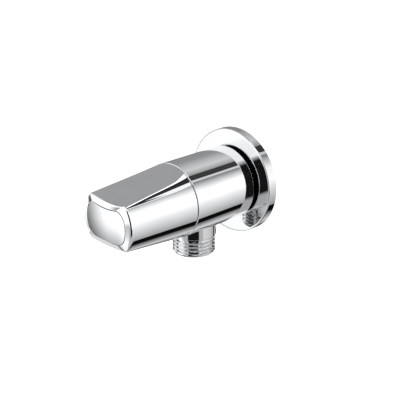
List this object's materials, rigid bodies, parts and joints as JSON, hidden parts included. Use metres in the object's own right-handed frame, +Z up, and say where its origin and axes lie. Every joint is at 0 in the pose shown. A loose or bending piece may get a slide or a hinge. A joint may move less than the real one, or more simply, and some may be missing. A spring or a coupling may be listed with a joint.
{
  "type": "angle stop valve",
  "caption": "Wall-mounted quarter-turn angle stop valve: round chromed body on a flat wall flange, faceted tapering knob in line with the body, and a threaded outlet pointing down.",
  "frame": {"origin": "centre of the wall flange's back face, on the axis shared by the inlet thread, the body and the handle", "axes": "+Z up; +Y into the wall along the inlet thread; the handle points to -Y and the outlet to -Z"},
  "size_m": [0.053, 0.1025, 0.0565],
  "materials": {
    "body": "polished",
    "outlet": "polished",
    "flange": "polished",
    "handle": "polished",
    "cap": "polished",
    "rubber": "matt",
    "foam": "closed-cell foam",
    "ptfe": "waxy",
    "brass": "turned",
    "steel": "turned",
    "spring_steel": "spring temper",
    "ceramic": "lapped",
    "acetal": "moulded"
  },
  "bodies": {
    "valve": {"valve_body": "body", "outlet_nipple": "outlet", "outlet_oring": "rubber", "escutcheon": "flange", "escutcheon_oring": "rubber", "wall_gasket": "foam", "inlet_thread_seal": "ptfe", "headwork_housing": "brass", "headwork_oring": "rubber", "thrust_washer": "ptfe", "fixed_disc": "ceramic", "seat_seal": "rubber", "seal_support_ring": "acetal", "handle_glide_ring": "ptfe"},
    "knob": {"handle": "handle", "handle_cap": "cap", "cap_oring": "rubber", "spline_insert": "acetal", "handle_screw": "steel", "stem": "brass", "stem_oring_lower": "rubber", "stem_oring_upper": "rubber", "stop_washer": "steel", "stem_circlip": "spring_steel", "moving_disc": "ceramic"}
  },
  "joints": [
    {"name": "handle_turn", "type": "hinge", "parent": "valve", "child": "knob", "pos_m": [0, -0.045, 0], "axis": [0, -1, 0], "range_deg": [0, 90]}
  ]
}
